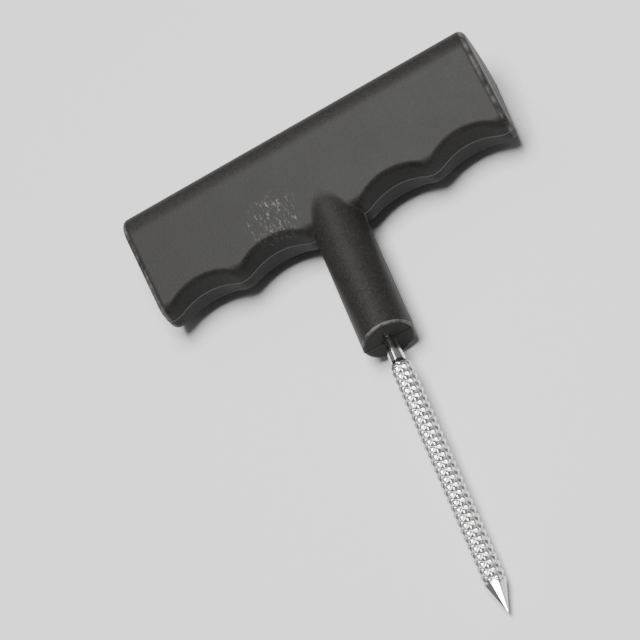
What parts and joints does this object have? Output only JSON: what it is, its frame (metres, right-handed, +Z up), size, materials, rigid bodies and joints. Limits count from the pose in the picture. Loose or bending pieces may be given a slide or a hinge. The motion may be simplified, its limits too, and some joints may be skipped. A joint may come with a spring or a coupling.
{
  "type": "tyre plug insertion tool",
  "caption": "T-handled tyre plug tool: moulded grip with finger bays and a round neck, on a steel rod with a cross-cut rasp and a sharp point.",
  "frame": {"origin": "middle of the footprint of the tool as it lies on a flat surface, on that surface", "axes": "+X from the palm side of the bar towards the point, +Y along the bar, +Z up; the rod tips down by 3.7 degrees because the tool rests on the bar and on the last teeth"},
  "size_m": [0.1554, 0.102, 0.0238],
  "materials": {
    "grip": "fine spark-grained black moulding",
    "steel": "bright plated steel, polished shank and rolled teeth"
  },
  "bodies": {
    "root": {"handle": "grip", "rod": "steel"}
  },
  "joints": []
}
